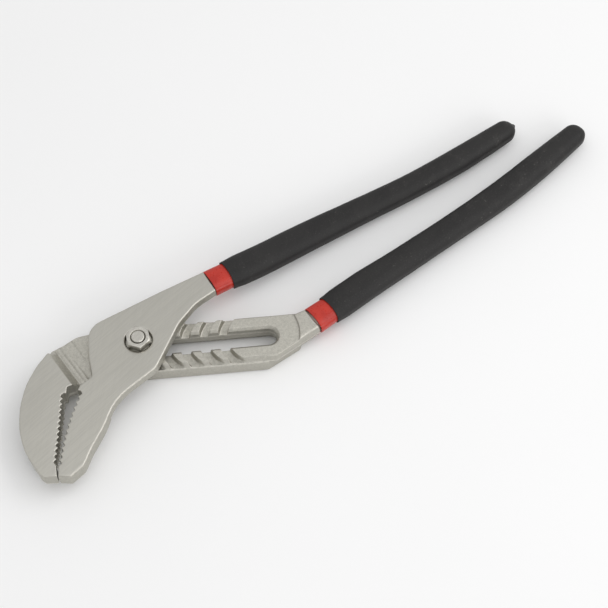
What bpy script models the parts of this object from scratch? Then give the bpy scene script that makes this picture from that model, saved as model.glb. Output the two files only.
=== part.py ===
"""Tongue and groove pliers, 400 mm class, lying on their back with the jaws closed.

Lengths in this script are millimetres in the working frame: the pivot is at x = y = 0, the slot
runs along +X, and the underside of the slotted arm is z = 0. An empty turns and moves that frame
so that the tool lies along +X of the part's own frame, in metres.
"""

import math

import bmesh
import bpy
from mathutils import Matrix, Vector

MM = 0.001

# How the tool lies: the slot's angle to the tool's length, and where the pivot is (mm).
SLOT_ANGLE = -31.0
PIVOT_AT = (-110.757, 13.101)

# Heights (mm).
PARTING = 8.8
ARM_TOP = 13.7
PLATE_BOTTOM = 14.0
PLATE_TOP = 19.7
JAW_BOTTOM = 8.6
ROOT_TOP = 14.9

# Arm and slot: half widths about the arm's own centre line (mm).
ARM_CENTRE = -1.1
RAIL_HALF = 14.4
RAIL_DRAFT = 1.8
SLOT_HALF_TOP = 6.8
SLOT_HALF = 5.2
SLOT_HALF_BACK = 6.9
SLOT_BACK_DEPTH = 4.2
SLOT_START = -3.5
SLOT_END = 74.5

# Settings: the tongue under the plate turns in one of the grooves across the arm (mm, degrees).
SETTINGS = 7
TRAVEL = 67.2
TRAVEL_TURN = 6.0
TONGUE_RADIUS = 19.1
GROOVE_WIDTH = 4.8
GROOVE_FLOOR = 9.1
GROOVE_DRAFT = 0.45
GROOVE_REACH = 80.0
TONGUE_REACH = 35.0
RUNNING_GAP = 0.35
ROOT_STEP_RADIUS = 25.7

# Pivot: an M8 bolt with a 13 mm nut (mm).
BOLT_RADIUS = 3.9
BOLT_HOLE_RADIUS = 4.3
BOLT_END = 24.1
HEAD_RADIUS = 5.6
HEAD_BOTTOM = 0.7
HEAD_TOP = 3.9
NUT_ACROSS_FLATS = 13.0
NUT_BOTTOM = 17.3
NUT_TOP = 23.6
NUT_TURN = 8.0
RECESS_RADIUS = 7.95
RECESS_FLOOR = 17.0

# Teeth (mm).
TOOTH_DEPTH = 1.6
TEETH = 13

# Dipped grips (mm).
UNDERLAY = 0.8
SLEEVE = 1.2
DIP_GAP = 0.3
COLLAR = 10.8

ARC_STEP = math.radians(9.0)

STEEL = (0.56, 0.55, 0.51, 1.0)
RED = (0.52, 0.045, 0.03, 1.0)
BLACK = (0.035, 0.033, 0.033, 1.0)

# Tang stations: x, y and z of the centre line, half width and half thickness (mm).
TONGUE_TANG = [
    (30.0, 28.6, 15.4, 7.0, 3.8),
    (43.6, 35.9, 15.4, 7.2, 3.8),
    (56.0, 41.9, 14.6, 7.1, 3.6),
    (76.0, 51.6, 12.8, 7.0, 3.5),
    (104.0, 66.3, 10.2, 6.7, 3.4),
    (137.0, 82.0, 8.8, 5.8, 3.4),
    (172.0, 98.1, 8.4, 5.2, 3.4),
    (206.0, 116.0, 8.2, 5.3, 3.4),
    (239.8, 136.0, 8.2, 4.2, 3.0),
]
GROOVE_TANG = [
    (88.0, -0.7, 10.4, 7.2, 3.9),
    (102.1, 8.0, 10.3, 7.4, 3.8),
    (114.0, 15.6, 10.1, 7.0, 3.7),
    (134.0, 28.8, 9.6, 6.8, 3.5),
    (159.5, 44.3, 9.0, 6.2, 3.4),
    (193.0, 65.2, 8.4, 5.9, 3.4),
    (226.0, 86.4, 8.2, 6.2, 3.4),
    (256.0, 108.4, 8.2, 5.8, 3.4),
    (282.8, 129.2, 8.2, 4.3, 3.0),
]
TONGUE_GRIP_START = 15.6
GROOVE_GRIP_START = 16.7


def clear_scene():
    for obj in list(bpy.data.objects):
        bpy.data.objects.remove(obj, do_unlink=True)


def new_collection(name):
    collection = bpy.data.collections.new(name)
    bpy.context.scene.collection.children.link(collection)
    return collection


def material(name, color, metallic, roughness):
    made = bpy.data.materials.new(name)
    made.use_nodes = True
    shader = made.node_tree.nodes["Principled BSDF"]
    shader.inputs["Base Color"].default_value = color
    shader.inputs["Metallic"].default_value = metallic
    shader.inputs["Roughness"].default_value = roughness
    return made


def add_object(name, data, collection, frame):
    obj = bpy.data.objects.new(name, data)
    collection.objects.link(obj)
    obj.parent = frame
    return obj


def object_from(name, bm, collection, frame):
    """A mesh object from a closed bmesh, with its faces turned to point out."""
    if bm.calc_volume(signed=True) < 0:
        bmesh.ops.reverse_faces(bm, faces=bm.faces)
    mesh = bpy.data.meshes.new(name)
    bm.to_mesh(mesh)
    bm.free()
    return add_object(name, mesh, collection, frame)


def cone(name, sides, radii, heights, collection, frame, turn=0.0):
    """A cylinder or a truncated cone on the pivot's axis: (low, high) radii and heights in mm."""
    bm = bmesh.new()
    middle = Matrix.Translation((0.0, 0.0, sum(heights) / 2 * MM))
    bmesh.ops.create_cone(
        bm, cap_ends=True, segments=sides, radius1=radii[0] * MM, radius2=radii[1] * MM,
        depth=(heights[1] - heights[0]) * MM,
        matrix=middle @ Matrix.Rotation(math.radians(turn), 4, "Z"),
    )
    return object_from(name, bm, collection, frame)


def turned(name, profile, sides, collection, frame):
    """A solid turned about the pivot's axis, from (radius, height) points down its outer side."""
    mesh = bpy.data.meshes.new(name)
    top = (0.0, profile[0][1])
    bottom = (0.0, profile[-1][1])
    points = [(r * MM, 0.0, z * MM) for r, z in [top, *profile, bottom]]
    mesh.from_pydata(points, [(i, i + 1) for i in range(len(points) - 1)], [])
    obj = add_object(name, mesh, collection, frame)
    screw = obj.modifiers.new("turn", "SCREW")
    screw.steps = sides
    screw.render_steps = sides
    screw.use_merge_vertices = True
    screw.merge_threshold = 0.00001
    return obj


def slab(name, outline, low, high, collection, frame, heading=None):
    """A flat outline in mm given thickness from low to high.

    With a heading in degrees the outline stands upright: its x runs along the heading, its y is
    up, and its thickness runs to the heading's right.
    """
    curve = bpy.data.curves.new(name, "CURVE")
    curve.dimensions = "2D"
    curve.fill_mode = "BOTH"
    curve.extrude = (high - low) / 2 * MM
    spline = curve.splines.new("POLY")
    spline.points.add(len(outline) - 1)
    for point, (x, y) in zip(spline.points, outline):
        point.co = (x * MM, y * MM, 0.0, 1.0)
    spline.use_cyclic_u = True
    guide = add_object(name + "_outline", curve, collection, None)
    bpy.context.view_layer.update()
    evaluated = guide.evaluated_get(bpy.context.evaluated_depsgraph_get())
    mesh = bpy.data.meshes.new_from_object(evaluated)
    bpy.data.objects.remove(guide, do_unlink=True)
    mesh.transform(Matrix.Translation((0.0, 0.0, (low + high) / 2 * MM)))
    if heading is not None:
        upright = Matrix.Rotation(math.radians(90.0), 4, "X")
        mesh.transform(Matrix.Rotation(math.radians(heading), 4, "Z") @ upright)
    bm = bmesh.new()
    bm.from_mesh(mesh)
    bpy.data.meshes.remove(mesh)
    bmesh.ops.remove_doubles(bm, verts=bm.verts, dist=0.000001)
    return object_from(name, bm, collection, frame)


def loft(name, rings, collection, frame):
    """A closed solid through rings of points in mm, all with the same number of points."""
    bm = bmesh.new()
    rows = [[bm.verts.new(Vector(point) * MM) for point in ring] for ring in rings]
    bm.faces.new(rows[0][::-1])
    bm.faces.new(rows[-1])
    for low, high in zip(rows, rows[1:]):
        for index in range(len(low)):
            after = (index + 1) % len(low)
            bm.faces.new((low[index], low[after], high[after], high[index]))
    return object_from(name, bm, collection, frame)


def corner_arc(corner, radius, before, after):
    """The points of one rounded corner. before and after lead to the corners on either side."""
    turn = math.pi - before.angle(after)
    if radius < 0.05 or turn < 0.01:
        return [corner]
    reach = radius * math.tan(turn / 2)
    middle = (before.normalized() + after.normalized()).normalized()
    centre = corner + middle * math.hypot(radius, reach)
    start = corner + before.normalized() * reach - centre
    side = math.copysign(1.0, before.cross(after))
    steps = max(1, math.ceil(turn / ARC_STEP - 0.01))
    points = []
    for step in range(steps + 1):
        angle = -side * turn * step / steps
        points.append(centre + Vector((
            start.x * math.cos(angle) - start.y * math.sin(angle),
            start.x * math.sin(angle) + start.y * math.cos(angle),
        )))
    return points


def fitting_radii(corners):
    """The corners' radii, made smaller where two arcs would meet on the edge between them."""
    reaches = []
    for index, (corner, radius) in enumerate(corners):
        before = corners[index - 1][0] - corner
        after = corners[(index + 1) % len(corners)][0] - corner
        reaches.append(radius * math.tan((math.pi - before.angle(after)) / 2))
    shares = [1.0] * len(corners)
    for index, (corner, _) in enumerate(corners):
        length = (corner - corners[index - 1][0]).length
        both = reaches[index] + reaches[index - 1]
        if both > 0.96 * length:
            for end in (index, index - 1):
                shares[end] = min(shares[end], 0.96 * length / both)
    return [radius * share for (_, radius), share in zip(corners, shares)]


def rounded_outline(corners, distance):
    """A counterclockwise outline from (x, y, radius) corners, drawn in by a distance."""
    moved = []
    for index, (x, y, radius) in enumerate(corners):
        corner = Vector((x, y))
        heading = (corner - Vector(corners[index - 1][:2])).normalized()
        leaving = (Vector(corners[(index + 1) % len(corners)][:2]) - corner).normalized()
        normal = Vector((-heading.y - leaving.y, heading.x + leaving.x)).normalized()
        half_turn = math.sqrt((1.0 + heading.dot(leaving)) / 2)
        convex = heading.cross(leaving) > 0
        if radius > 0:
            radius = max(radius - distance, 0.12) if convex else radius + distance
        moved.append((corner + normal * distance / half_turn, radius))
    points = []
    for index, radius in enumerate(fitting_radii(moved)):
        corner = moved[index][0]
        before = moved[index - 1][0] - corner
        after = moved[(index + 1) % len(moved)][0] - corner
        points += corner_arc(corner, radius, before, after)
    return points


def forged(name, corners, levels, collection, frame):
    """A forging blank: one outline, drawn in at each (height, inset) level by the die's draft."""
    rings = []
    for height, distance in levels:
        rings.append([(p.x, p.y, height) for p in rounded_outline(corners, distance)])
    return loft(name, rings, collection, frame)


def combine(target, tool, operation):
    """Adds a Boolean modifier, and hides the tool."""
    modifier = target.modifiers.new(tool.name, "BOOLEAN")
    modifier.operation = operation
    modifier.solver = "EXACT"
    modifier.object = tool
    tool.hide_render = True
    tool.display_type = "WIRE"


def finish_piece(obj, surface):
    obj.data.materials.append(surface)
    obj.data.shade_smooth()
    obj.data.set_sharp_from_angle(angle=math.radians(35))


def pivot_place(setting):
    """Where the pivot stands at a setting: evenly turned about a far point, so nearly on a line."""
    half_turn = math.radians(TRAVEL_TURN / 2)
    swing = TRAVEL / 2 / math.sin(half_turn)
    turn = half_turn * (2 * setting / (SETTINGS - 1) - 1)
    return (
        TRAVEL / 2 + swing * math.sin(turn),
        swing * (math.cos(half_turn) - math.cos(turn)),
    )


def ring_sector(name, width, floor, top, reach, centre, collection, frame):
    """Part of a ring of the tongue's radius about a point, wider towards the top by the draft."""
    half = math.radians(reach)
    steps = math.ceil(2 * half / ARC_STEP)
    section = (
        (TONGUE_RADIUS - width / 2, floor),
        (TONGUE_RADIUS + width / 2, floor),
        (TONGUE_RADIUS + width / 2 + GROOVE_DRAFT, top),
        (TONGUE_RADIUS - width / 2 - GROOVE_DRAFT, top),
    )
    rings = []
    for step in range(steps + 1):
        angle = math.pi - half + 2 * half * step / steps
        rings.append([
            (centre[0] + r * math.cos(angle), centre[1] + r * math.sin(angle), z) for r, z in section
        ])
    return loft(name, rings, collection, frame)


def tooth_cutter(name, tip, start, end, bow, side, collection, frame):
    """Cuts a jaw's face from throat to tip: the flat at the tip, then teeth along a bowed line.

    side is +1 where the steel is left of the line from start to end, and the bow is away from it.
    """
    start = Vector(start)
    end = Vector(end)
    inwards = Vector((start.y - end.y, end.x - start.x)).normalized() * side

    def face(share):
        return start.lerp(end, share) - inwards * bow * 4 * share * (1 - share)

    outline = [Vector(tip)]
    for tooth in range(TEETH):
        outline.append(face(tooth / TEETH))
        outline.append(face((tooth + 0.5) / TEETH) + inwards * TOOTH_DEPTH)
    outline.append(end)
    outline.append(end - inwards * (bow + 4.0))
    outline.append(Vector(tip) - inwards * (bow + 4.0))
    return slab(name, [tuple(p) for p in outline], -5.0, 25.0, collection, frame)


def under_cutter(name, low, high, collection, frame):
    """Cuts both jaws from below: (y, z) of its top at the throat and at the tips."""
    outline = [(-low[0], -8.0), (-high[0], -8.0), (-high[0], high[1]), (-low[0], low[1])]
    return slab(name, outline, -5.0, 90.0, collection, frame, heading=-90.0)


def section_ring(station, heading, square, grow, shrink, sides):
    """A rounded-rectangle section (a superellipse) across a handle, grown and shrunk."""
    x, y, z, half_width, half_thick = station
    ring = []
    for side in range(sides):
        angle = 2 * math.pi * side / sides
        across = math.copysign(abs(math.cos(angle)) ** (2 / square), math.cos(angle))
        up = math.copysign(abs(math.sin(angle)) ** (2 / square), math.sin(angle))
        across *= (half_width + grow) * shrink
        up *= (half_thick + grow) * shrink
        ring.append((x - heading.y * across, y + heading.x * across, z + up))
    return ring


def between(stations, place):
    """A station on the smooth line through all of them; place counts spans from 0."""
    last = len(stations) - 1
    index = min(int(place), last - 1)
    part = place - index
    picked = [stations[min(max(index + shift, 0), last)] for shift in (-1, 0, 1, 2)]
    return [
        0.5 * (2 * b + (c - a) * part + (2 * a - 5 * b + 4 * c - d) * part**2
               + (3 * b - a - 3 * c + d) * part**3)
        for a, b, c, d in zip(*picked)
    ]


def handle_rings(stations, grow, start, dome, samples=18, square=3.0, sides=16):
    """Rings along a handle from start (mm along it) to its end, which closes like a dome."""
    steps = 10 * samples
    places = [between(stations, (len(stations) - 1) * k / steps) for k in range(steps + 1)]
    travelled = [0.0]
    for here, there in zip(places, places[1:]):
        travelled.append(travelled[-1] + math.dist(here[:3], there[:3]))
    total = travelled[-1] + grow
    stops = [(start + (total - start - dome) * k / samples, 1.0) for k in range(samples + 1)]
    for rise in (0.35, 0.62, 0.82, 0.94, 0.99):
        stops.append((total - dome * (1 - rise), math.sqrt(1 - rise**2)))
    rings = []
    for stop, shrink in stops:
        index = min(range(steps + 1), key=lambda k: abs(travelled[k] - stop))
        before = places[max(index - 1, 0)]
        after = places[min(index + 1, steps)]
        heading = Vector((after[0] - before[0], after[1] - before[1])).normalized()
        rest = stop - travelled[index]
        station = list(places[index])
        station[0] += heading.x * rest
        station[1] += heading.y * rest
        rings.append(section_ring(station, heading, square, grow, shrink, sides))
    return rings


def grips(prefix, tang, grip_start, parts, cutters, frame, red, black):
    """The two coats of dip on one tang: each is hollowed by what is under it, grown by the gap."""
    inner = DIP_GAP + UNDERLAY
    outer = inner + DIP_GAP + SLEEVE
    underlay = loft(prefix + "_grip_underlay", handle_rings(tang, inner, grip_start, 6.5), parts, frame)
    room = loft(prefix + "_tang_room", handle_rings(tang, DIP_GAP, grip_start - 8.0, 6.0), cutters, frame)
    combine(underlay, room, "DIFFERENCE")
    finish_piece(underlay, red)
    sleeve_start = grip_start + COLLAR
    sleeve = loft(prefix + "_grip_sleeve", handle_rings(tang, outer, sleeve_start, 7.5), parts, frame)
    room = loft(
        prefix + "_underlay_room", handle_rings(tang, inner + DIP_GAP, grip_start, 6.8), cutters, frame,
    )
    combine(sleeve, room, "DIFFERENCE")
    finish_piece(sleeve, black)


def slot_cutter(name, collection, frame):
    """The slot, level by level: channel for the bolt's head, straight walls, chamfer on top."""
    levels = [
        (-1.0, SLOT_HALF_BACK), (SLOT_BACK_DEPTH, SLOT_HALF_BACK - 0.2),
        (SLOT_BACK_DEPTH + 0.2, SLOT_HALF), (ARM_TOP - 1.8, SLOT_HALF),
        (ARM_TOP - 0.3, SLOT_HALF_TOP - 0.3), (ARM_TOP, SLOT_HALF_TOP), (ARM_TOP + 4.0, SLOT_HALF_TOP),
    ]
    rings = []
    for height, half_width in levels:
        ring = []
        for centre_x, first in ((SLOT_END, -0.5), (SLOT_START, 0.5)):
            for step in range(17):
                angle = math.pi * (first + step / 16)
                ring.append((
                    centre_x + half_width * math.cos(angle),
                    ARM_CENTRE + half_width * math.sin(angle),
                    height,
                ))
        rings.append(ring)
    return loft(name, rings, collection, frame)


def outer_jaw(parts, frame):
    """The blank of the outer jaw, up to the shoulder."""
    outline = [
        (-46.0, -80.1, 0.3), (-45.0, -70.0, 0.0), (-42.6, -31.0, 0.0), (-42.0, -25.7, 2.0),
        (-37.0, -24.3, 1.0), (-36.0, -8.0, 4.0), (-42.0, 2.0, 3.0), (-52.0, -4.4, 4.0),
        (-58.0, -12.0, 25.0), (-64.0, -23.2, 35.0), (-67.5, -37.2, 40.0), (-67.8, -51.2, 35.0),
        (-65.0, -64.0, 30.0), (-57.3, -77.8, 4.0), (-54.9, -79.7, 1.0),
    ]
    levels = [
        (3.0, 1.4), (4.0, 0.6), (PARTING, 0.0), (PARTING + 1.0, 0.0),
        (PLATE_TOP - 0.5, 0.4), (PLATE_TOP, 0.9),
    ]
    return forged("groove_half", outline[::-1], levels, parts, frame)


def slotted_arm(cutters, frame):
    """The blank of the arm and the neck that leads to the outer jaw."""
    low = ARM_CENTRE - RAIL_HALF
    high = ARM_CENTRE + RAIL_HALF
    outline = [
        (-40.6, -24.2, 1.5), (-33.0, -22.9, 5.0), (-13.0, low, 14.0), (73.0, low, 1.5),
        (92.0, -4.6, 1.5), (96.0, 6.0, 2.0), (93.0, high, 2.0), (-16.0, high, 18.0),
        (-36.5, 9.9, 12.0), (-44.0, 5.2, 3.0), (-51.5, 1.6, 3.0), (-55.0, -5.0, 3.0),
        (-51.0, -16.0, 5.0),
    ]
    levels = [
        (0.0, -0.3), (0.8, -1.1), (PARTING - 1.4, -0.4), (PARTING - 0.6, 0.0), (PARTING + 0.3, 0.0),
        (ARM_TOP - 0.4, RAIL_DRAFT - 0.4), (ARM_TOP, RAIL_DRAFT),
    ]
    return forged("arm_blank", outline, levels, cutters, frame)


def handle_root(cutters, frame):
    """The blank of the raised root where the arm turns into the right handle."""
    outline = [
        (72.0, -15.2, 1.0), (78.5, -15.2, 2.0), (105.6, 1.0, 1.0), (97.7, 14.4, 1.0),
        (88.5, 11.0, 10.0), (78.0, 11.6, 1.0),
    ]
    levels = [
        (4.6, 2.0), (5.6, 0.8), (PARTING + 0.6, 0.0), (PARTING + 1.4, 0.0),
        (ROOT_TOP - 0.6, 0.8), (ROOT_TOP, 1.4),
    ]
    return forged("root_blank", outline, levels, cutters, frame)


def groove_half(parts, cutters, frame, steel):
    """Outer jaw, neck, slotted arm with its grooves, and the tang inside the right grip."""
    half = outer_jaw(parts, frame)
    combine(half, slotted_arm(cutters, frame), "UNION")
    combine(half, under_cutter("under_outer_jaw", (-18.0, 5.6), (-84.0, 8.8), cutters, frame), "DIFFERENCE")
    # Along the tool from the neck towards the jaw: the valley, the ramp and the air above them.
    ramp = [
        (10.0, ARM_TOP + 0.02), (38.6, ARM_TOP + 0.02), (41.2, ARM_TOP - 1.0), (46.0, PLATE_TOP - 0.2),
        (47.0, PLATE_TOP + 0.3), (55.0, 30.0), (10.0, 30.0),
    ]
    combine(half, slab("shoulder_cutter", ramp, -40.0, 45.0, cutters, frame, heading=211.0), "DIFFERENCE")
    combine(half, handle_root(cutters, frame), "UNION")
    tang = loft("groove_tang", handle_rings(GROOVE_TANG, 0.0, 0.0, 5.0, samples=20), cutters, frame)
    combine(half, tang, "UNION")
    step = cone(
        "root_step", 72, (ROOT_STEP_RADIUS, ROOT_STEP_RADIUS + 0.8), (ARM_TOP, ROOT_TOP + 3.0), cutters, frame,
    )
    step.location.x = TRAVEL * MM
    combine(half, step, "DIFFERENCE")
    combine(half, slot_cutter("slot_cutter", cutters, frame), "DIFFERENCE")
    for setting in range(SETTINGS):
        groove = ring_sector(
            f"groove_cutter_{setting + 1}", GROOVE_WIDTH, GROOVE_FLOOR, ARM_TOP + 0.5,
            GROOVE_REACH, pivot_place(setting), cutters, frame,
        )
        combine(half, groove, "DIFFERENCE")
    teeth = tooth_cutter(
        "outer_teeth", (-47.8, -82.0), (-48.4, -73.6), (-43.6, -30.0), 0.3, 1, cutters, frame,
    )
    combine(half, teeth, "DIFFERENCE")
    finish_piece(half, steel)


def tongue_half(parts, cutters, frame, steel):
    """Inner jaw, plate with the nut's recess, the tongue under it, and the left grip's tang."""
    face = [(-34.6, -25.6, 1.0), (-43.6, -45.0, 30.0), (-48.4, -74.0, 0.0), (-48.6, -80.8, 0.0)]
    tip = [(-40.4, -82.0, 1.5), (-32.6, -75.6, 5.0), (-28.0, -65.4, 20.0)]
    back = [(-20.4, -52.2, 40.0), (-14.4, -36.9, 34.0)]
    outline = [
        *tip, *back, (9.6, -19.2, 10.0), (16.9, -5.4, 16.0), (24.2, 8.6, 20.0), (34.8, 20.8, 20.0),
        (47.0, 28.6, 1.0), (40.1, 42.6, 1.0), (15.2, 31.9, 20.0), (-29.2, 11.4, 13.0),
        (-29.2, -8.0, 20.0), (-27.6, -20.8, 2.0), *face,
    ]
    levels = [
        (PLATE_BOTTOM, 0.4), (PLATE_BOTTOM + 0.4, 0.0), (PLATE_BOTTOM + 1.6, 0.0),
        (PLATE_TOP - 0.5, 0.4), (PLATE_TOP, 0.9),
    ]
    half = forged("tongue_half", outline, levels, parts, frame)
    jaw_outline = [*tip, back[0], (-17.2, -43.6, 1.0), (-27.0, -38.6, 8.0), *face]
    jaw_levels = [
        (4.0, 1.2), (JAW_BOTTOM, 1.2), (JAW_BOTTOM + 0.8, 0.6), (PLATE_BOTTOM + 0.5, 0.6),
        (PLATE_BOTTOM + 2.0, 1.8),
    ]
    jaw = forged("inner_jaw_blank", jaw_outline, jaw_levels, cutters, frame)
    under = under_cutter("under_inner_jaw", (-20.0, JAW_BOTTOM - 1.0), (-84.0, 9.0), cutters, frame)
    combine(jaw, under, "DIFFERENCE")
    combine(half, jaw, "UNION")
    tang = loft("tongue_tang", handle_rings(TONGUE_TANG, 0.0, 0.0, 5.0, samples=20), cutters, frame)
    combine(half, tang, "UNION")
    tongue = ring_sector(
        "tongue", GROOVE_WIDTH - 2 * RUNNING_GAP, GROOVE_FLOOR + RUNNING_GAP, PLATE_BOTTOM + 1.0,
        TONGUE_REACH, pivot_place(0), cutters, frame,
    )
    combine(half, tongue, "UNION")
    recess = turned("nut_recess", [
        (RECESS_RADIUS + 0.4, PLATE_TOP + 2.0), (RECESS_RADIUS + 0.4, PLATE_TOP),
        (RECESS_RADIUS, PLATE_TOP - 0.4), (RECESS_RADIUS, RECESS_FLOOR),
    ], 40, cutters, frame)
    combine(half, recess, "DIFFERENCE")
    hole = cone("bolt_hole", 32, (BOLT_HOLE_RADIUS, BOLT_HOLE_RADIUS), (5.0, 22.0), cutters, frame)
    combine(half, hole, "DIFFERENCE")
    teeth = tooth_cutter(
        "inner_teeth", (-47.4, -83.5), (-46.95, -74.4), (-33.8, -29.4), 1.9, -1, cutters, frame,
    )
    combine(half, teeth, "DIFFERENCE")
    finish_piece(half, steel)


def pivot_bolt(parts, frame, steel):
    """A round head that runs in the slot's channel, and the shank."""
    bolt = turned("pivot_bolt", [
        (BOLT_RADIUS - 0.5, BOLT_END), (BOLT_RADIUS, BOLT_END - 0.5), (BOLT_RADIUS, HEAD_TOP),
        (HEAD_RADIUS, HEAD_TOP), (HEAD_RADIUS, HEAD_BOTTOM + 0.6), (HEAD_RADIUS - 0.6, HEAD_BOTTOM),
    ], 36, parts, frame)
    finish_piece(bolt, steel)


def pivot_nut(parts, cutters, frame, steel):
    """Hex nut, chamfered above: a hexagonal prism within a cone, and bored for the bolt."""
    corner = NUT_ACROSS_FLATS / math.sqrt(3)
    nut = cone("pivot_nut", 6, (corner, corner), (NUT_BOTTOM, NUT_TOP), parts, frame, NUT_TURN)
    chamfer = turned("nut_chamfer", [
        (NUT_ACROSS_FLATS / 2 - 0.6, NUT_TOP + 0.3), (NUT_ACROSS_FLATS / 2 - 0.1, NUT_TOP),
        (corner + 2.6, NUT_TOP - 2.3), (corner + 2.6, NUT_BOTTOM - 1.0),
    ], 48, cutters, frame)
    combine(nut, chamfer, "INTERSECT")
    bore = turned("nut_bore", [
        (BOLT_RADIUS + 1.3, NUT_TOP + 0.5), (BOLT_RADIUS + 0.3, NUT_TOP - 0.5),
        (BOLT_RADIUS + 0.3, NUT_BOTTOM - 2.0),
    ], 36, cutters, frame)
    combine(nut, bore, "DIFFERENCE")
    finish_piece(nut, steel)


def main():
    clear_scene()
    parts = new_collection("tongue_and_groove_pliers")
    cutters = new_collection("cutters")
    frame = add_object("slot_frame", None, parts, None)
    frame.rotation_euler.z = math.radians(SLOT_ANGLE)
    frame.location = (PIVOT_AT[0] * MM, PIVOT_AT[1] * MM, 0.0)
    jaw_hinge = add_object("jaw_hinge", None, parts, frame)

    steel = material("satin_steel", STEEL, 1.0, 0.36)
    bright = material("bright_steel", STEEL, 1.0, 0.28)
    red = material("red_dip", RED, 0.0, 0.3)
    black = material("black_dip", BLACK, 0.0, 0.65)

    groove_half(parts, cutters, frame, steel)
    grips("groove", GROOVE_TANG, GROOVE_GRIP_START, parts, cutters, frame, red, black)
    pivot_bolt(parts, jaw_hinge, bright)
    pivot_nut(parts, cutters, jaw_hinge, bright)
    tongue_half(parts, cutters, jaw_hinge, steel)
    grips("tongue", TONGUE_TANG, TONGUE_GRIP_START, parts, cutters, jaw_hinge, red, black)


main()
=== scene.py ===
import math

import bmesh
import bpy
import numpy as np
from mathutils import Matrix, Vector, noise


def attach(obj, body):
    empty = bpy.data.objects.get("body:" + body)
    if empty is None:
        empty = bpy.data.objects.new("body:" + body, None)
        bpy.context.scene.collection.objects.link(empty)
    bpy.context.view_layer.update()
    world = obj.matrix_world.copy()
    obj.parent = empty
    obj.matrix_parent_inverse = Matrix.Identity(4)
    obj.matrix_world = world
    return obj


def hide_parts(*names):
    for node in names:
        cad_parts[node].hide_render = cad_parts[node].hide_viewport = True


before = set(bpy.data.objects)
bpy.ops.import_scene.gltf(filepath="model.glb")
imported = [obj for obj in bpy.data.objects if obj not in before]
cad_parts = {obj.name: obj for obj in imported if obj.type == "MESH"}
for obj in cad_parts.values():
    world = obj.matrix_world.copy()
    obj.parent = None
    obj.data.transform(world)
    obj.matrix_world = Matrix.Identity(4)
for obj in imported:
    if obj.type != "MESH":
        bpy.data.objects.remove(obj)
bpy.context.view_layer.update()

MM = 0.001

# The working frame of the forgings: the pivot is at (0, 0) and the slot runs along +X (mm, degrees).
PIVOT_AT = (-110.757, 13.101)
SLOT_ANGLE = -31.0
ARM_CENTRE = -1.1
PARTING = 8.8
ARM_TOP = 13.7
PLATE_TOP = 19.7

# The direction from the pivot to the outer jaw, across the shoulder, in the working frame.
TOWARDS_JAW = np.array((-0.857, -0.515))

# The brush lines of the ground faces run nearly along the tool, and fainter ones cross them (degrees).
BRUSH_ANGLE = 10.0
CROSSED_BY = 34.0

# Nickel-plated steel: the colours of its ground and blasted faces.
GROUND_COLOUR = (0.505, 0.492, 0.447)
BLASTED_COLOUR = (0.50, 0.485, 0.435)

# The plate half is ground where it faces up above this height (mm).
PLATE_GROUND_ABOVE = 4.0

# Voxel size of the forgings and of the fasteners (mm), and the share of their faces that is kept.
FORGING_VOXEL = 0.36
FASTENER_VOXEL = 0.16
FORGING_KEPT = 0.4
FASTENER_KEPT = 0.5

# Dip coats (mm): their thickness, the gap under each, the red collar's length and how far it laps the
# steel, the stretch where the black coat thins to its lip and the one where its front edge bows.
UNDERLAY = 0.8
SLEEVE = 1.2
DIP_GAP = 0.3
COLLAR = 10.8
COLLAR_LAP = 0.7
TAPER = 10.0
BOW_FADE = 14.0
DRIP_WIDTH = 1.5

# Faces round a grip, and rings along its outside, its inside, its lip and each domed end.
GRIP_SIDES = 64
GRIP_RINGS = 110
INNER_RINGS = 24
LIP_RINGS = 8
DOME_RINGS = 26
SMALLEST_RING = 0.02

# Tang stations: x, y and z of the centre line, half width and half thickness (mm).
TONGUE_TANG = [
    (30.0, 28.6, 15.4, 7.0, 3.8),
    (43.6, 35.9, 15.4, 7.2, 3.8),
    (56.0, 41.9, 14.6, 7.1, 3.6),
    (76.0, 51.6, 12.8, 7.0, 3.5),
    (104.0, 66.3, 10.2, 6.7, 3.4),
    (137.0, 82.0, 8.8, 5.8, 3.4),
    (172.0, 98.1, 8.4, 5.2, 3.4),
    (206.0, 116.0, 8.2, 5.3, 3.4),
    (239.8, 136.0, 8.2, 4.2, 3.0),
]
GROOVE_TANG = [
    (88.0, -0.7, 10.4, 7.2, 3.9),
    (102.1, 8.0, 10.3, 7.4, 3.8),
    (114.0, 15.6, 10.1, 7.0, 3.7),
    (134.0, 28.8, 9.6, 6.8, 3.5),
    (159.5, 44.3, 9.0, 6.2, 3.4),
    (193.0, 65.2, 8.4, 5.9, 3.4),
    (226.0, 86.4, 8.2, 6.2, 3.4),
    (256.0, 108.4, 8.2, 5.8, 3.4),
    (282.8, 129.2, 8.2, 4.3, 3.0),
]
TONGUE_GRIP_START = 15.6
GROOVE_GRIP_START = 16.7

# The camera: the point it looks at and its distance (m), its angles (degrees) and its lens (mm).
LOOK_AT = (-0.01516, -0.0176, 0.0047)
CAMERA_AZIMUTH = -36.6
CAMERA_ELEVATION = 60.0
CAMERA_DISTANCE = 0.890
CAMERA_LENS = 88.8

WORLD_LIGHT = 0.74

TO_PART = (
    Matrix.Translation((PIVOT_AT[0] * MM, PIVOT_AT[1] * MM, 0.0))
    @ Matrix.Rotation(math.radians(SLOT_ANGLE), 4, "Z")
)


# ---------------------------------------------------------------- materials


def add(tree, kind, inputs=(), **settings):
    """A shader node. inputs are (socket, number, colour or another node's output)."""
    made = tree.nodes.new("ShaderNode" + kind)
    for key, value in settings.items():
        setattr(made, key, value)
    for socket, value in inputs:
        if isinstance(value, bpy.types.NodeSocket):
            tree.links.new(value, made.inputs[socket])
        else:
            made.inputs[socket].default_value = value
    return made


def calc(tree, operation, *values):
    return add(tree, "Math", list(enumerate(values)), operation=operation).outputs[0]


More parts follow.
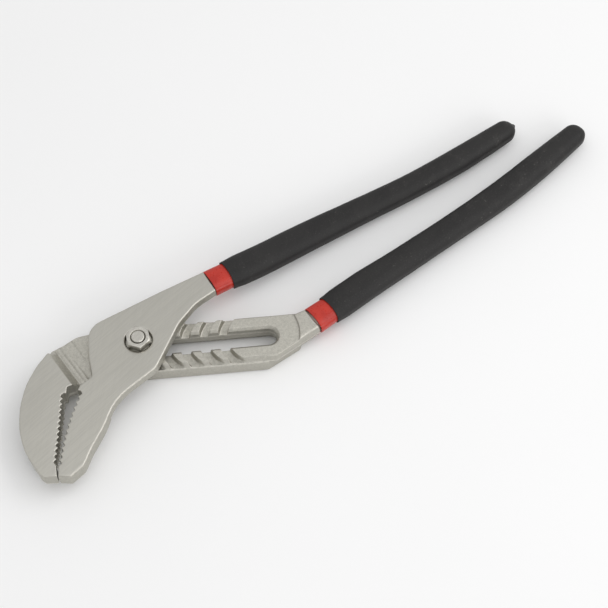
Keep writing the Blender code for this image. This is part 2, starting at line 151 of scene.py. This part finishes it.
def span(tree, value, low, high, to_low=0.0, to_high=1.0):
    """The value eased from the range low to high into the range to_low to to_high."""
    return add(
        tree, "MapRange",
        [(0, value), (1, low), (2, high), (3, to_low), (4, to_high)],
        interpolation_type="SMOOTHSTEP",
    ).outputs[0]


def blend_colour(tree, share, first, second):
    made = add(tree, "Mix", [(0, share), (6, first), (7, second)], data_type="RGBA")
    return made.outputs[2]


def blend_value(tree, share, first, second):
    made = add(tree, "Mix", [(0, share), (2, first), (3, second)], data_type="FLOAT")
    return made.outputs[0]


def stretched(tree, position, angle, size):
    """Coordinates turned about Z, with one unit to each size in mm along the turned axes."""
    turned = add(
        tree, "VectorRotate", [(0, position), ("Angle", -math.radians(angle))], rotation_type="Z_AXIS",
    ).outputs[0]
    scale = tuple(1.0 / (side * MM) for side in size)
    return add(tree, "VectorMath", [(0, turned), (1, scale)], operation="MULTIPLY").outputs[0]


def speckle(tree, vector, detail=2.0, roughness=0.5):
    made = add(
        tree, "TexNoise",
        [("Vector", vector), ("Scale", 1.0), ("Detail", detail), ("Roughness", roughness)],
    )
    return made.outputs[0]


def start_material(name, **sockets):
    made = bpy.data.materials.new(name)
    made.use_nodes = True
    tree = made.node_tree
    shader = tree.nodes["Principled BSDF"]
    for key, value in sockets.items():
        shader.inputs[key.replace("_", " ")].default_value = value
    return made, tree, shader


def bumped(tree, height, distance, strength):
    """A normal from a height, with the distance in mm."""
    inputs = [("Height", height), ("Distance", distance * MM), ("Strength", strength)]
    return add(tree, "Bump", inputs).outputs[0]


def steel(name, ground_above):
    """Nickel-plated steel: ground where it faces up above a height in mm, and blasted elsewhere."""
    made, tree, shader = start_material(name, Metallic=1.0)
    place = add(tree, "TexCoord")
    position = place.outputs["Object"]
    facing = add(tree, "SeparateXYZ", [(0, place.outputs["Normal"])]).outputs[2]
    height = add(tree, "SeparateXYZ", [(0, position)]).outputs[2]
    upwards = span(tree, facing, 0.75, 0.96)
    high = span(tree, height, (ground_above - 0.5) * MM, ground_above * MM)
    ground = calc(tree, "MULTIPLY", upwards, high)

    fine = speckle(tree, stretched(tree, position, BRUSH_ANGLE, (20.0, 0.5, 0.5)), 3.0, 0.6)
    broad = speckle(tree, stretched(tree, position, BRUSH_ANGLE, (34.0, 1.2, 1.2)), 2.0)
    crossed = speckle(tree, stretched(tree, position, BRUSH_ANGLE + CROSSED_BY, (22.0, 0.8, 0.8)), 2.0)
    cloud = speckle(tree, stretched(tree, position, 0.0, (17.0, 17.0, 17.0)), 3.0)
    grit = speckle(tree, stretched(tree, position, 0.0, (0.55, 0.55, 0.55)), 2.0, 0.7)
    pits = speckle(tree, stretched(tree, position, 0.0, (1.7, 1.7, 1.7)), 3.0, 0.6)

    lines = calc(tree, "ADD", calc(tree, "MULTIPLY", fine, 0.62), calc(tree, "MULTIPLY", broad, 0.18))
    lines = calc(tree, "ADD", lines, calc(tree, "MULTIPLY", crossed, 0.20))
    bright = tuple(min(1.0, c * 1.045) for c in GROUND_COLOUR)
    dull = tuple(c * 0.945 for c in GROUND_COLOUR)
    ground_look = blend_colour(tree, span(tree, lines, 0.36, 0.64), (*dull, 1.0), (*bright, 1.0))
    spark = tuple(min(1.0, c * 1.14) for c in BLASTED_COLOUR)
    dark = tuple(c * 0.86 for c in BLASTED_COLOUR)
    grain = calc(tree, "ADD", calc(tree, "MULTIPLY", grit, 0.6), calc(tree, "MULTIPLY", pits, 0.4))
    blasted_look = blend_colour(tree, span(tree, grain, 0.34, 0.68), (*dark, 1.0), (*spark, 1.0))
    look = blend_colour(tree, ground, blasted_look, ground_look)
    # Painted shade: steep side faces are darkened a little, more the steeper they stand.
    painted_wall_shade = tuple(c * 0.96 for c in BLASTED_COLOUR)
    look = blend_colour(tree, span(tree, facing, 0.62, 0.10, 0.0, 0.6), look, (*painted_wall_shade, 1.0))

    # The trimmed flash line round the parting plane is bare and bright.
    seam = calc(tree, "ABSOLUTE", calc(tree, "SUBTRACT", height, PARTING * MM))
    seam = calc(tree, "MULTIPLY", span(tree, seam, 1.15 * MM, 0.35 * MM), span(tree, facing, 0.85, 0.5))
    seam = calc(tree, "MULTIPLY", seam, span(tree, pits, 0.35, 0.6, 0.45, 1.0))

    # Convex edges are brighter and smoother: partly rubbed wear and partly a painted highlight. Inner
    # corners are darkened with painted shade.
    edges = add(tree, "NewGeometry").outputs["Pointiness"]
    uneven = span(tree, cloud, 0.30, 0.62, 0.45, 1.0)
    rubbed_and_highlight = calc(tree, "MULTIPLY", span(tree, edges, 0.515, 0.60), uneven)
    # The bright colour is painted highlight mixed with rubbed wear on the edges, and bare metal on the
    # flash line.
    worn_and_highlight = tuple(min(1.0, c * 1.32) for c in GROUND_COLOUR)
    look = blend_colour(tree, calc(tree, "MULTIPLY", rubbed_and_highlight, 0.75), look, (*worn_and_highlight, 1.0))
    look = blend_colour(tree, seam, look, (*worn_and_highlight, 1.0))
    # Painted shade: concave corners are darkened towards a dark steel colour.
    corner_shade_mask = span(tree, edges, 0.49, 0.42, 0.0, 0.6)
    painted_corner_shade = tuple(c * 0.38 for c in BLASTED_COLOUR)
    look = blend_colour(tree, corner_shade_mask, look, (*painted_corner_shade, 1.0))
    look = blend_colour(tree, span(tree, cloud, 0.40, 0.72, 0.0, 0.10), look, (*dark, 1.0))
    tree.links.new(look, shader.inputs["Base Color"])

    ground_rough = span(tree, lines, 0.34, 0.66, 0.395, 0.33)
    blasted_rough = span(tree, grain, 0.36, 0.66, 0.56, 0.42)
    rough = blend_value(tree, ground, blasted_rough, ground_rough)
    rough = calc(tree, "SUBTRACT", rough, calc(tree, "MULTIPLY", rubbed_and_highlight, 0.10))
    tree.links.new(rough, shader.inputs["Roughness"])

    relief = blend_value(tree, ground, calc(tree, "MULTIPLY", grain, 3.0), lines)
    tree.links.new(bumped(tree, relief, 0.014, 0.8), shader.inputs["Normal"])
    return made


def bright_steel(name):
    made, tree, shader = start_material(name, Metallic=1.0)
    position = add(tree, "TexCoord").outputs["Object"]
    turned = speckle(tree, stretched(tree, position, 20.0, (3.0, 0.25, 0.25)), 3.0, 0.6)
    cloud = speckle(tree, stretched(tree, position, 0.0, (2.4, 2.4, 2.4)), 3.0)
    edges = add(tree, "NewGeometry").outputs["Pointiness"]
    marks = span(tree, turned, 0.35, 0.65)
    look = blend_colour(tree, marks, (0.50, 0.485, 0.44, 1.0), (0.60, 0.585, 0.54, 1.0))
    # Painted highlight: convex edges are mixed towards a pale steel colour.
    look = blend_colour(tree, span(tree, edges, 0.52, 0.60, 0.0, 0.6), look, (0.74, 0.72, 0.67, 1.0))
    # Painted shade: concave creases are darkened towards near black.
    look = blend_colour(tree, span(tree, edges, 0.49, 0.42, 0.0, 0.4), look, (0.16, 0.15, 0.14, 1.0))
    tree.links.new(look, shader.inputs["Base Color"])
    tree.links.new(span(tree, cloud, 0.35, 0.65, 0.34, 0.46), shader.inputs["Roughness"])
    tree.links.new(bumped(tree, turned, 0.02, 0.7), shader.inputs["Normal"])
    return made


def red_dip(name):
    made, tree, shader = start_material(
        name, Coat_Weight=0.15, Coat_Roughness=0.15, Specular_IOR_Level=0.35,
    )
    position = add(tree, "TexCoord").outputs["Object"]
    cloud = speckle(tree, stretched(tree, position, 0.0, (7.0, 7.0, 7.0)), 3.0)
    ripple = speckle(tree, stretched(tree, position, 0.0, (1.6, 1.6, 1.6)), 2.0)
    depth = span(tree, cloud, 0.32, 0.68)
    look = blend_colour(tree, depth, (0.40, 0.020, 0.011, 1.0), (0.49, 0.031, 0.017, 1.0))
    edges = add(tree, "NewGeometry").outputs["Pointiness"]
    # Painted highlight: convex edges are mixed towards a lighter red.
    look = blend_colour(tree, span(tree, edges, 0.52, 0.60, 0.0, 0.35), look, (0.62, 0.09, 0.055, 1.0))
    tree.links.new(look, shader.inputs["Base Color"])
    tree.links.new(span(tree, ripple, 0.35, 0.65, 0.27, 0.38), shader.inputs["Roughness"])
    tree.links.new(bumped(tree, ripple, 0.06, 0.6), shader.inputs["Normal"])
    return made


def black_dip(name):
    """Matte vinyl: a fine orange-peel skin, with dusty smudges and specks that gather towards the ends."""
    made, tree, shader = start_material(name, Specular_IOR_Level=0.30)
    position = add(tree, "TexCoord").outputs["Object"]
    peel = speckle(tree, stretched(tree, position, 0.0, (0.75, 0.75, 0.75)), 3.0, 0.6)
    sway = speckle(tree, stretched(tree, position, 24.0, (30.0, 14.0, 14.0)), 3.0)
    dust = speckle(tree, stretched(tree, position, 40.0, (9.0, 7.0, 7.0)), 4.0, 0.6)
    dots = speckle(tree, stretched(tree, position, 0.0, (1.3, 1.3, 1.3)), 2.0, 0.6)
    along = add(tree, "SeparateXYZ", [(0, position)]).outputs[0]
    depth = span(tree, sway, 0.34, 0.66)
    look = blend_colour(tree, depth, (0.0125, 0.0118, 0.0118, 1.0), (0.0165, 0.0156, 0.0152, 1.0))
    near_end = span(tree, along, 0.02, 0.17, 0.35, 1.0)
    look = blend_colour(tree, span(tree, peel, 0.40, 0.66, 0.0, 0.5), look, (0.026, 0.025, 0.024, 1.0))
    patch = calc(tree, "MULTIPLY", span(tree, dust, 0.50, 0.66), near_end)
    smudge = calc(tree, "MULTIPLY", patch, 0.22)
    look = blend_colour(tree, smudge, look, (0.052, 0.049, 0.046, 1.0))
    dustier = calc(tree, "MULTIPLY_ADD", patch, 0.8, 0.15)
    flecks = calc(tree, "MULTIPLY", span(tree, dots, 0.60, 0.72), dustier)
    look = blend_colour(tree, flecks, look, (0.085, 0.081, 0.076, 1.0))
    edges = add(tree, "NewGeometry").outputs["Pointiness"]
    # Painted highlight: convex edges are mixed towards a lighter black.
    look = blend_colour(tree, span(tree, edges, 0.52, 0.60, 0.0, 0.35), look, (0.036, 0.034, 0.033, 1.0))
    tree.links.new(look, shader.inputs["Base Color"])
    matte = span(tree, peel, 0.35, 0.65, 0.50, 0.60)
    rough = calc(tree, "ADD", matte, calc(tree, "MULTIPLY", smudge, 0.15))
    tree.links.new(rough, shader.inputs["Roughness"])
    tree.links.new(bumped(tree, peel, 0.05, 0.7), shader.inputs["Normal"])
    return made


def paper_floor(name):
    made, tree, shader = start_material(name, Roughness=0.85, Specular_IOR_Level=0.2)
    position = add(tree, "TexCoord").outputs["Object"]
    cloud = speckle(tree, stretched(tree, position, 0.0, (220.0, 220.0, 220.0)), 2.0)
    look = blend_colour(tree, cloud, (0.86, 0.86, 0.86, 1.0), (0.89, 0.89, 0.89, 1.0))
    tree.links.new(look, shader.inputs["Base Color"])
    return made


# ---------------------------------------------------------------- steel pieces


def apply_modifiers(obj):
    """obj's mesh made into what its modifiers give."""
    bpy.context.view_layer.update()
    evaluated = obj.evaluated_get(bpy.context.evaluated_depsgraph_get())
    mesh = bpy.data.meshes.new_from_object(evaluated)
    obj.modifiers.clear()
    before = obj.data
    obj.data = mesh
    bpy.data.meshes.remove(before)


def remeshed(name, node, voxel, smoothing):
    """A copy of a CAD solid with small rounded edges, as voxels of that size in mm leave them."""
    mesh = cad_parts[node].data.copy()
    mesh.materials.clear()
    made = bpy.data.objects.new(name, mesh)
    bpy.context.scene.collection.objects.link(made)
    weld = bmesh.new()
    weld.from_mesh(mesh)
    bmesh.ops.remove_doubles(weld, verts=weld.verts, dist=0.002 * MM)
    weld.to_mesh(mesh)
    weld.free()
    remesh = made.modifiers.new("voxels", "REMESH")
    remesh.mode = "VOXEL"
    remesh.voxel_size = voxel * MM
    remesh.adaptivity = 0.0
    smooth = made.modifiers.new("soft edges", "SMOOTH")
    smooth.factor = 0.5
    smooth.iterations = smoothing
    apply_modifiers(made)
    return made


def thinned(obj, kept):
    """Fewer faces where the surface is flat: kept is the share that stays."""
    thin = obj.modifiers.new("thinned", "DECIMATE")
    thin.ratio = kept
    apply_modifiers(obj)


def mesh_arrays(mesh):
    count = len(mesh.vertices)
    points = np.empty(count * 3, np.float32)
    mesh.vertices.foreach_get("co", points)
    normals = np.empty(count * 3, np.float32)
    mesh.vertex_normals.foreach_get("vector", normals)
    return points.reshape(-1, 3).astype(float), normals.reshape(-1, 3).astype(float)


def push(mesh, points, normals, amounts):
    """Moves each vertex along its normal by an amount in mm."""
    moved = points + normals * (amounts * MM)[:, None]
    mesh.vertices.foreach_set("co", moved.astype(np.float32).ravel())
    mesh.update()


def lumps(points, size, seed):
    """Smooth noise at each point, about -1 to 1, with lumps of that size in mm."""
    shift = Vector((seed * 17.3, seed * 5.1, seed * 9.7))
    return np.array([noise.noise(Vector(p) / (size * MM) + shift) for p in points])


def arm_places(points):
    """The points in the working frame of the forgings, in mm."""
    back = np.array(TO_PART.inverted())
    return (points @ back[:3, :3].T + back[:3, 3]) / MM


def limited(values):
    return np.clip(values, 0.0, 1.0)


def eased(values, low, high):
    """0 below low and 1 above high, with a smooth rise between them."""
    share = limited((values - low) / (high - low))
    return share * share * (3.0 - 2.0 * share)


def bell(values, middle, width):
    """1 at the middle, falling off smoothly on both sides."""
    return np.exp(-(((values - middle) / width) ** 2))


def forge_skin(obj):
    """The as-forged skin, the torn flash line along the arm's sides, and the two low steps of the neck."""
    mesh = obj.data
    points, normals = mesh_arrays(mesh)
    places = arm_places(points)
    height = places[:, 2]
    steepness = np.abs(normals[:, 2])
    below = 1.0 - limited((height - (PLATE_TOP - 1.2)) / 0.8)
    skin = below * (0.022 * lumps(points, 3.2, 1) + 0.014 * lumps(points, 1.1, 2))

    off_centre = np.abs(places[:, 1] - ARM_CENTRE)
    on_arm = limited((places[:, 0] + 26.0) / 6.0) * limited((98.0 - places[:, 0]) / 6.0)
    on_arm *= limited((off_centre - 10.5) / 1.5)
    upright = 1.0 - limited((steepness - 0.75) / 0.2)
    torn = 0.55 + 0.55 * lumps(points, 2.4, 3) + 0.35 * lumps(points, 0.9, 4)
    flash = 0.42 * np.clip(torn, 0.0, 1.4) * bell(height, PARTING, 0.75)
    flash -= 0.10 * bell(height, PARTING + 1.7, 0.6)

    along = places[:, :2] @ TOWARDS_JAW
    top = limited((normals[:, 2] - 0.45) / 0.3) * limited((height - 11.0) / 1.5)
    steps = 0.38 * eased(along, 35.2, 36.0) - 0.5 * eased(along, 29.6, 30.6) - 0.55 * bell(along, 38.6, 0.8)
    steps *= 1.0 - limited((height - ARM_TOP - 0.6) / 1.5)
    push(mesh, points, normals, skin + flash * on_arm * upright + steps * top * below)


def steel_piece(name, node, body, surface, voxel, smoothing, kept, shape=None):
    made = remeshed(name, node, voxel, smoothing)
    if shape:
        shape(made)
    thinned(made, kept)
    made.data.shade_smooth()
    made.data.materials.append(surface)
    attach(made, body)
    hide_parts(node)
    return made


# ---------------------------------------------------------------- dipped grips


def between(stations, place):
    """A station on the smooth line through all of them; place counts spans from 0."""
    last = len(stations) - 1
    index = min(int(place), last - 1)
    part = place - index
    picked = [stations[min(max(index + shift, 0), last)] for shift in (-1, 0, 1, 2)]
    return [
        0.5 * (2 * b + (c - a) * part + (2 * a - 5 * b + 4 * c - d) * part**2
               + (3 * b - a - 3 * c + d) * part**3)
        for a, b, c, d in zip(*picked)
    ]


class Handle:
    """The line of a tang, measured along its length in mm."""

    def __init__(self, stations):
        steps = 60 * (len(stations) - 1)
        self.places = np.array([between(stations, k / 60) for k in range(steps)] + [stations[-1]])
        gaps = np.linalg.norm(np.diff(self.places[:, :3], axis=0), axis=1)
        self.travelled = np.concatenate([[0.0], np.cumsum(gaps)])
        self.length = self.travelled[-1]

    def station(self, stop):
        ahead = [np.interp(stop, self.travelled, self.places[:, k]) for k in range(5)]
        beside = [stop - 0.6, stop + 0.6]
        near = np.array([np.interp(beside, self.travelled, self.places[:, k]) for k in range(2)])
        heading = near[:, 1] - near[:, 0]
        if stop > self.length - 0.7:
            heading = self.places[-1, :2] - self.places[-4, :2]
        heading = heading / np.linalg.norm(heading)
        beyond = max(0.0, stop - self.length)
        ahead[0] += heading[0] * beyond
        ahead[1] += heading[1] * beyond
        return ahead, heading

    def ring(self, stop, grow, shrink, square, bulge=0.0):
        """A rounded-rectangle ring, its top and bottom pushed along the handle by the bulge."""
        ring = []
        (x, y, z, half_width, half_thick), heading = self.station(stop)
        for side in range(GRIP_SIDES):
            angle = 2 * math.pi * side / GRIP_SIDES
            across = math.copysign(abs(math.cos(angle)) ** (2 / square), math.cos(angle))
            up = math.copysign(abs(math.sin(angle)) ** (2 / square), math.sin(angle))
            push_on = bulge * (1.0 - across * across)
            across *= (half_width + grow) * shrink
            up *= (half_thick + grow) * shrink
            ring.append((
                x - heading[1] * across + heading[0] * push_on,
                y + heading[0] * across + heading[1] * push_on,
                z + up,
            ))
        return ring


def dip_coat(name, handle, start, inner, thick, dome, square, bulge, lip=1.0):
    """A closed coat on a tang: the inside, a rounded front lip, and the outside, with domed ends.

    It begins at start mm along the tang, inner mm outside the steel. dome is the length of the rounded
    end, square the exponent of the ring's shape, and bulge how far the front edge bows. The lip is the
    share of the thickness at the front: the coat reaches all of it TAPER mm on.
    """
    outside = handle.length + inner + thick
    inside = handle.length + inner
    front = start + 0.5 * thick
    rings = []

    def bulged(stop):
        return bulge * max(0.0, 1.0 - (stop - start) / BOW_FADE) ** 2

    def outer(stop):
        return inner + thick * (lip + (1.0 - lip) * float(eased(stop - start, 0.0, TAPER)))

    def domed(end, grow, k):
        rise = math.sin(math.pi / 2 * k / DOME_RINGS)
        shrink = max(SMALLEST_RING, math.sqrt(1 - rise**2))
        return handle.ring(end - dome * (1 - rise), grow, shrink, square)

    for k in range(DOME_RINGS, 0, -1):
        rings.append(domed(inside, inner, k))
    for k in range(INNER_RINGS, -1, -1):
        stop = front + (inside - dome - front) * k / INNER_RINGS
        rings.append(handle.ring(stop, inner, 1.0, square, bulged(stop)))
    for k in range(1, LIP_RINGS):
        angle = math.pi * k / LIP_RINGS
        stop = start + 0.5 * thick * lip * (1 - math.sin(angle))
        grow = inner + 0.5 * thick * lip * (1 - math.cos(angle))
        rings.append(handle.ring(stop, grow, 1.0, square, bulge))
    for k in range(GRIP_RINGS + 1):
        stop = front + (outside - dome - front) * k / GRIP_RINGS
        rings.append(handle.ring(stop, outer(stop), 1.0, square, bulged(stop)))
    for k in range(1, DOME_RINGS + 1):
        rings.append(domed(outside, inner + thick, k))

    bm = bmesh.new()
    rows = [[bm.verts.new(TO_PART @ (Vector(p) * MM)) for p in ring] for ring in rings]
    bm.faces.new(rows[0])
    bm.faces.new(rows[-1][::-1])
    for low, high in zip(rows, rows[1:]):
        for side in range(GRIP_SIDES):
            after = (side + 1) % GRIP_SIDES
            bm.faces.new((low[side], high[side], high[after], low[after]))
    if bm.calc_volume(signed=True) < 0:
        bmesh.ops.reverse_faces(bm, faces=bm.faces)
    mesh = bpy.data.meshes.new(name)
    bm.to_mesh(mesh)
    bm.free()
    made = bpy.data.objects.new(name, mesh)
    bpy.context.scene.collection.objects.link(made)
    return made


def drip_at(points, tip, height):
    """The little nub where the last of the dip ran off, as a push in mm at each point."""
    away = np.linalg.norm(points - np.array(tip), axis=1) / MM
    return height * bell(away, 0.0, DRIP_WIDTH)


def grip(prefix, stations, grip_start, body, red, black, drip):
    handle = Handle(stations)
    collar = dip_coat(
        prefix + "_grip_collar", handle, grip_start - COLLAR_LAP, DIP_GAP, UNDERLAY,
        dome=6.2, square=3.0, bulge=0.3,
    )
    mesh = collar.data
    points, normals = mesh_arrays(mesh)
    push(mesh, points, normals, 0.04 * lumps(points, 6.0, 5) - 0.04)
    inner = DIP_GAP + UNDERLAY + DIP_GAP
    sleeve = dip_coat(
        prefix + "_grip_cover", handle, grip_start + COLLAR, inner, SLEEVE,
        dome=7.4, square=2.9, bulge=0.9, lip=0.5,
    )
    mesh = sleeve.data
    points, normals = mesh_arrays(mesh)
    wave = 0.10 * lumps(points, 16.0, 6) + 0.045 * lumps(points, 4.5, 7) - 0.05
    end, _ = handle.station(handle.length + inner + SLEEVE)
    tip = TO_PART @ (Vector(end[:3]) * MM)
    push(mesh, points, normals, wave + drip_at(points, tip, drip))
    for piece, surface, slot, node in (
        (collar, red, "red_dip", prefix + "_grip_underlay"),
        (sleeve, black, "black_dip", prefix + "_grip_sleeve"),
    ):
        piece.data.shade_smooth()
        piece.data.materials.append(surface)
        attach(piece, body)
        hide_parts(node)


# ---------------------------------------------------------------- stage


def towards(azimuth, elevation):
    """The direction from the object to a camera or lamp at those angles, in degrees."""
    a = math.radians(azimuth)
    e = math.radians(elevation)
    return Vector((math.sin(a) * math.cos(e), -math.cos(a) * math.cos(e), math.sin(e)))


def aimed(obj, azimuth, elevation, distance):
    direction = towards(azimuth, elevation)
    obj.location = Vector(LOOK_AT) + direction * distance
    obj.rotation_euler = direction.to_track_quat("Z", "Y").to_euler()
    bpy.context.scene.collection.objects.link(obj)


def lamp(name, azimuth, elevation, distance, size, power):
    light = bpy.data.lights.new(name, "AREA")
    light.shape = "RECTANGLE"
    light.size, light.size_y = size
    light.energy = power
    aimed(bpy.data.objects.new(name, light), azimuth, elevation, distance)


def stage():
    camera = bpy.data.cameras.new("camera")
    camera.lens = CAMERA_LENS
    camera.sensor_width = 36.0
    camera.clip_start = 0.05
    camera.clip_end = 20.0
    eye = bpy.data.objects.new("camera", camera)
    aimed(eye, CAMERA_AZIMUTH, CAMERA_ELEVATION, CAMERA_DISTANCE)
    bpy.context.scene.camera = eye

    bm = bmesh.new()
    bmesh.ops.create_grid(bm, x_segments=1, y_segments=1, size=4.0)
    mesh = bpy.data.meshes.new("floor")
    bm.to_mesh(mesh)
    bm.free()
    mesh.materials.append(paper_floor("floor_paper"))
    floor = bpy.data.objects.new("floor", mesh)
    floor.location.z = -0.2 * MM
    bpy.context.scene.collection.objects.link(floor)

    world = bpy.data.worlds.new("studio")
    world.use_nodes = True
    background = world.node_tree.nodes["Background"]
    background.inputs["Color"].default_value = (1.0, 1.0, 1.0, 1.0)
    background.inputs["Strength"].default_value = WORLD_LIGHT
    bpy.context.scene.world = world
    bpy.context.scene.view_settings.view_transform = "Standard"
    lamp("key", CAMERA_AZIMUTH + 105.0, 50.0, 1.5, (1.1, 0.9), 5.5)
    lamp("fill", CAMERA_AZIMUTH + 45.0, 26.0, 1.6, (1.1, 0.6), 5.0)
    lamp("overhead", CAMERA_AZIMUTH, 88.0, 1.5, (1.0, 1.0), 2.0)


# ---------------------------------------------------------------- the tool


def main():
    stage()
    plate_steel = steel("ground_nickel_steel", PLATE_GROUND_ABOVE)
    arm_steel = steel("forged_nickel_steel", PLATE_TOP - 0.7)
    fastener = bright_steel("fastener_steel")
    red = red_dip("red_vinyl_dip")
    black = black_dip("black_vinyl_dip")

    steel_piece(
        "arm_forging", "groove_half", "groove_half_body", arm_steel,
        FORGING_VOXEL, 1, FORGING_KEPT, forge_skin,
    )
    steel_piece(
        "plate_forging", "tongue_half", "tongue_half_body", plate_steel,
        FORGING_VOXEL, 1, FORGING_KEPT,
    )
    for name, node in (("hex_nut", "pivot_nut"), ("bolt", "pivot_bolt")):
        steel_piece(name, node, "pivot", fastener, FASTENER_VOXEL, 2, FASTENER_KEPT)
    grip("groove", GROOVE_TANG, GROOVE_GRIP_START, "groove_half_body", red, black, drip=0.3)
    grip("tongue", TONGUE_TANG, TONGUE_GRIP_START, "tongue_half_body", red, black, drip=1.6)


main()
